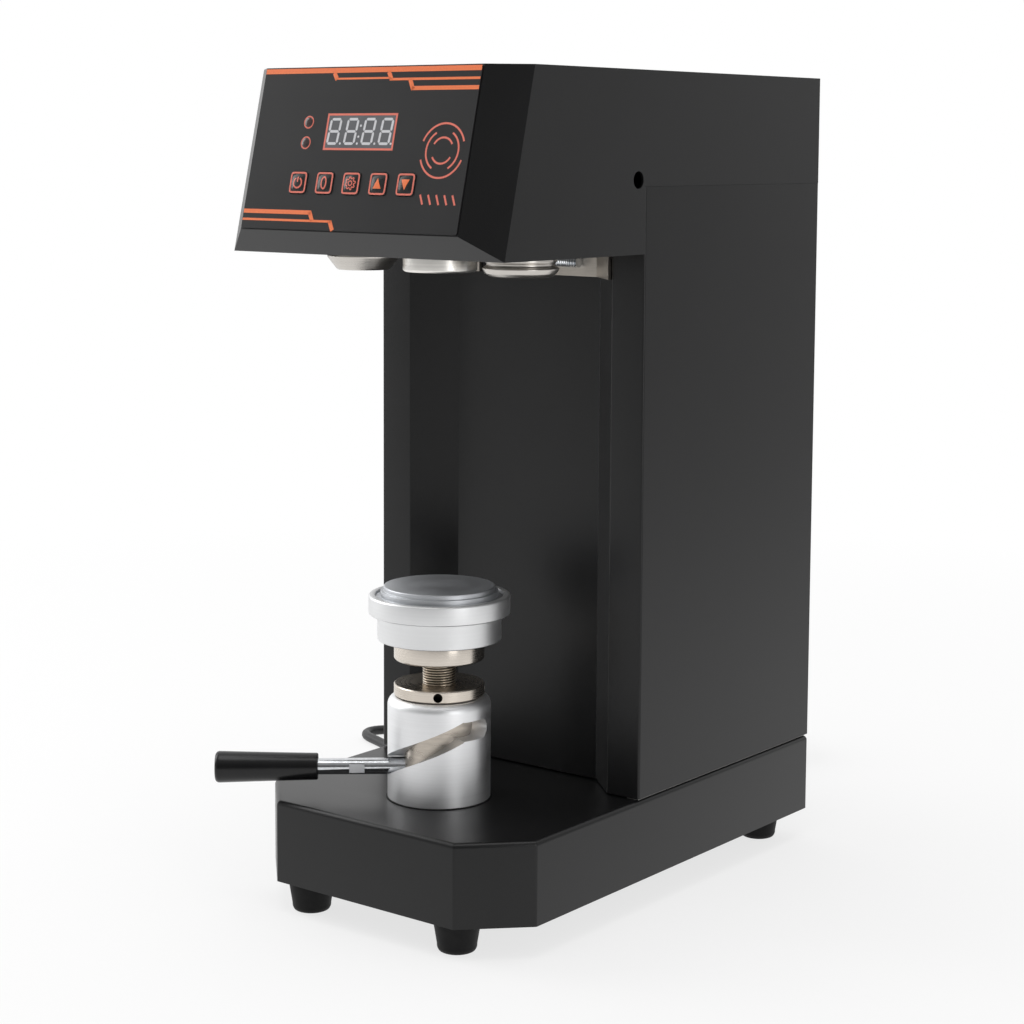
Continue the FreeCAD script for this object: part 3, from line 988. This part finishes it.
for hand, side in (("left", -1), ("right", 1)):
    pivot_x, roller_x = f"({side} * pivot_x)", f"({side} * roller_x)"
    body = new_body("arm_" + hand)
    bar = [("0", "-arm_half"), (REACH, "-arm_half"), (REACH, "arm_half"), ("0", "arm_half")]
    raised(body, sketch_on(body, "XY", [bar]), "arm_thick")
    for x, radius in (("0", "arm_hub_radius"), (REACH, "arm_end_radius")):
        raised(body, sketch_on(body, "XY", [("circle", x, "0", radius)]), "arm_thick")
    raised(body, sketch_on(body, "XY", [("circle", "0", "0", "pivot_shaft_radius"),
                                        ("circle", REACH, "0", "roller_pin_radius")]),
           "arm_thick", cut=True, back=True)
    place(body, pivot_x, PIVOT_Y, "arm_low", f"-90 deg - {side} * {LEAN}")
    node(body, "roller_arm_" + hand)

    body = turned_piece("pin_" + hand, [
        ("0", PIN_LOW), ("pin_head_radius - pin_head_edge", PIN_LOW),
        ("pin_head_radius", f"{PIN_LOW} + pin_head_edge"), ("pin_head_radius", KEEPER_LOW),
        ("keeper_radius", KEEPER_LOW), ("keeper_radius", f"{KEEPER_LOW} + keeper_thick"),
        ("roller_pin_radius", f"{KEEPER_LOW} + keeper_thick"),
        ("roller_pin_radius", "roller_top + roller_gap"),
        ("pin_collar_radius", "roller_top + roller_gap"), ("pin_collar_radius", "arm_low"),
        ("roller_pin_radius", "arm_low"), ("roller_pin_radius", "arm_low + arm_thick"),
        ("0", "arm_low + arm_thick")], roller_x, LIFT_Y)
    node(body, "roller_pin_" + hand)

    node(turned_piece("roller_" + hand, ROLLERS[hand] + UNDERSIDE, roller_x, LIFT_Y),
         "seaming_roller_" + hand)

    body = new_body("crank_" + hand + "_body")
    raised(body, sketch_on(body, "XY", [("circle", "0", "0", "pivot_shaft_radius")], "arm_low"),
           "crank_top - arm_low")
    raised(body, sketch_on(body, "XY", [("circle", "0", "0", "crank_hub_radius")], CRANK_LOW),
           f"crank_top - {CRANK_LOW}")
    web = [("0", "-crank_half"), ("crank_radius", "-crank_half", "crank_half"),
           ("crank_radius", "crank_half"),
           ("0", "crank_half")]
    raised(body, sketch_on(body, "XY", [web], "crank_top - crank_web"), "crank_web")
    raised(body, sketch_on(body, "XY", [("circle", "crank_radius", "0", "crank_pin_radius")], "crank_top"),
           "crank_pin_top - crank_top")
    place(body, pivot_x, PIVOT_Y, "0", "180" if side > 0 else "0.0")
    node(body, "crank_" + hand)

    drive_x = f"({side} * drive_x)"
    mouth = "(base_front + drive_setback)"
    body = new_body("rod_" + hand)
    slot = [("-eye_slot", "-(crank_pin_radius + eye_gap)"),
            ("eye_slot", "-(crank_pin_radius + eye_gap)", "crank_pin_radius + eye_gap"),
            ("eye_slot", "crank_pin_radius + eye_gap"),
            ("-eye_slot", "crank_pin_radius + eye_gap", "crank_pin_radius + eye_gap")]
    eye_low = "(-eye_thick / 2)"
    raised(body, sketch_on(body, "XY", [("circle", "0", "0", "eye_radius"), slot], eye_low), "eye_thick")
    neck = "(eye_radius - eye_overlap)"
    raised(body, sketch_on(body, "XZ", [("circle", "0", "0", "drive_rod_radius")], f"-{neck}"),
           f"{mouth} + drive_rod_in - {PIVOT_Y} - {neck}", back=True)
    place(body, drive_x, PIVOT_Y, "drive_rod_z")
    node(body, "drive_rod_" + hand)

    case = block("drive_case_" + hand, "drive_width", "drive_length", "drive_height", drive_x, mouth,
                 PLATE_TOP)
    bore = rod("drive_bore_" + hand, "drive_rod_radius + rod_slack",
               "drive_rod_in + drive_stroke + cut_over",
               drive_x, mouth, "drive_rod_z", "-90", ALONG_X)
    drive_bodies.append(less("drive_body_" + hand, case, bore))
group("linear_drives", drive_bodies)

# Power supply that stands in the column
body = new_body("supply")
w, d = "supply_width / 2", "supply_depth / 2"
case = raised(body, sketch_on(body, "XY", [[(f"-{w}", f"-{d}"), (w, f"-{d}"), (w, d), (f"-{w}", d)]],
                              BASE_TOP),
              "supply_height")
rounded(body, case, "supply_round", upright)
place(body, "0", "base_front + supply_setback")
node(body, "power_supply")

# Mains lead: strain relief, free cord, stored coil and plug
RELIEF_OUT = f"({REAR} + relief_flange_thick + relief_length)"
body = turned_piece("relief", [
    ("cord_radius - cord_bite", "-base_wall - relief_tail"),
    ("relief_low_radius - fit_gap", "-base_wall - relief_tail"),
    ("relief_low_radius - fit_gap", "0"),
    ("relief_flange_radius", "0"), ("relief_flange_radius", "relief_flange_thick"),
    ("relief_top_radius", "relief_flange_thick"),
    ("relief_low_radius", "relief_flange_thick + relief_length"),
    ("cord_radius - cord_bite", "relief_flange_thick + relief_length")])
place(body, "relief_x", REAR, "relief_z", "-90", ALONG_X)
node(body, "strain_relief")

CORD_ROUTE = [
    (-14, 208, 43), (-16, 240, 40), (-34, 264, 29), (-64, 270, 14), (-94, 257, 3.5),
    (-115, 230, 3.5), (-120, 197, 3.5), (-117, 165, 3.5), (-129, 138, 3.5), (-154, 125, 3.5),
    (-184, 129, 3.5), (-212, 140, 3.5), (-238, 154.5, 3.5), (-263, 165, 3.5), (-289, 174, 3.5),
    (-291, 191, 3.5), (-267, 209, 3.5), (-244, 233, 3.5), (-226, 265, 3.5), (-205, 299, 3.5),
    (-177, 330, 3.5), (-145, 354, 3.5), (-111, 368, 3.5), (-70, 375, 3.5),
]


def cord_tube(points, radius):
    """A round tube along straight runs joined by tangent arcs, as large as the runs allow."""
    points = [FreeCAD.Vector(*p) for p in points]
    edges, at, radii = [], points[0], []
    for before, here, after in zip(points, points[1:], points[2:]):
        back, on = (before - here), (after - here)
        turn = math.pi - back.getAngle(on)
        reach = 0.45 * min(back.Length, on.Length)
        start = here + back.normalize() * reach
        finish = here + on.normalize() * reach
        bend = reach / math.tan(turn / 2)
        radii.append(round(bend))
        toward = (start + finish) * 0.5 - here
        span = math.hypot(bend, reach) - bend
        middle = here + toward.normalize() * span
        edges += [Part.LineSegment(at, start).toShape(), Part.Arc(start, middle, finish).toShape()]
        at = finish
    edges.append(Part.LineSegment(at, points[-1]).toShape())
    path = Part.Wire(edges)
    ring = Part.Wire([Part.Circle(points[0], points[1] - points[0], radius).toShape()])
    solid = path.makePipeShell([ring], True, False)
    return solid, path.Length, radii


route = [(number("relief_x"), number(RELIEF_OUT), number("relief_z"))] + CORD_ROUTE[1:]
cord = doc.addObject("Part::Feature", "cord")
cord.Shape, cord_length, radii = cord_tube(route, number("cord_radius"))
print("cord length", round(cord_length), "radii", radii,
      "volume share", round(cord.Shape.Volume / (math.pi * number("cord_radius") ** 2 * cord_length), 4))
node(cord, "power_cord")

coil = new_body("coil")
turned(coil, sketch_on(coil, "XZ",
                       [square_outline("2 * coil_half", "coil_half / 2", "coil_mid_radius", "coil_half")]))
place(coil, "coil_x", "coil_y")
node(coil, "power_cord_coil")

plug = new_body("plug")
raised(plug, sketch_on(plug, "XY",
                       [square_outline("plug_width", "plug_round", "0", "plug_length / 2", "plug_length")],
                       "2 * coil_half"), "plug_height")
pins = [("circle", f"{side} * plug_pin_gap / 2", "2 * coil_half + plug_height / 2", "plug_pin_radius")
        for side in (-1, 1)]
raised(plug, sketch_on(plug, "XZ", pins), "plug_pin_length")
place(plug, "coil_x + coil_mid_radius", "coil_y - plug_length / 2")
node(plug, "power_plug")

doc.recompute()
faults = [f"{o.Name} {o.State}" for o in doc.Objects if "Invalid" in o.State or "Error" in o.State]
faults += [name for name, piece in NODES.items() if piece.Shape.isNull() or not piece.Shape.isValid()]
if faults:
    raise RuntimeError(f"not built: {faults}")
for name, piece in NODES.items():
    piece.Shape.exportStep(f"parts/{name}.step")
print(len(NODES), "nodes")
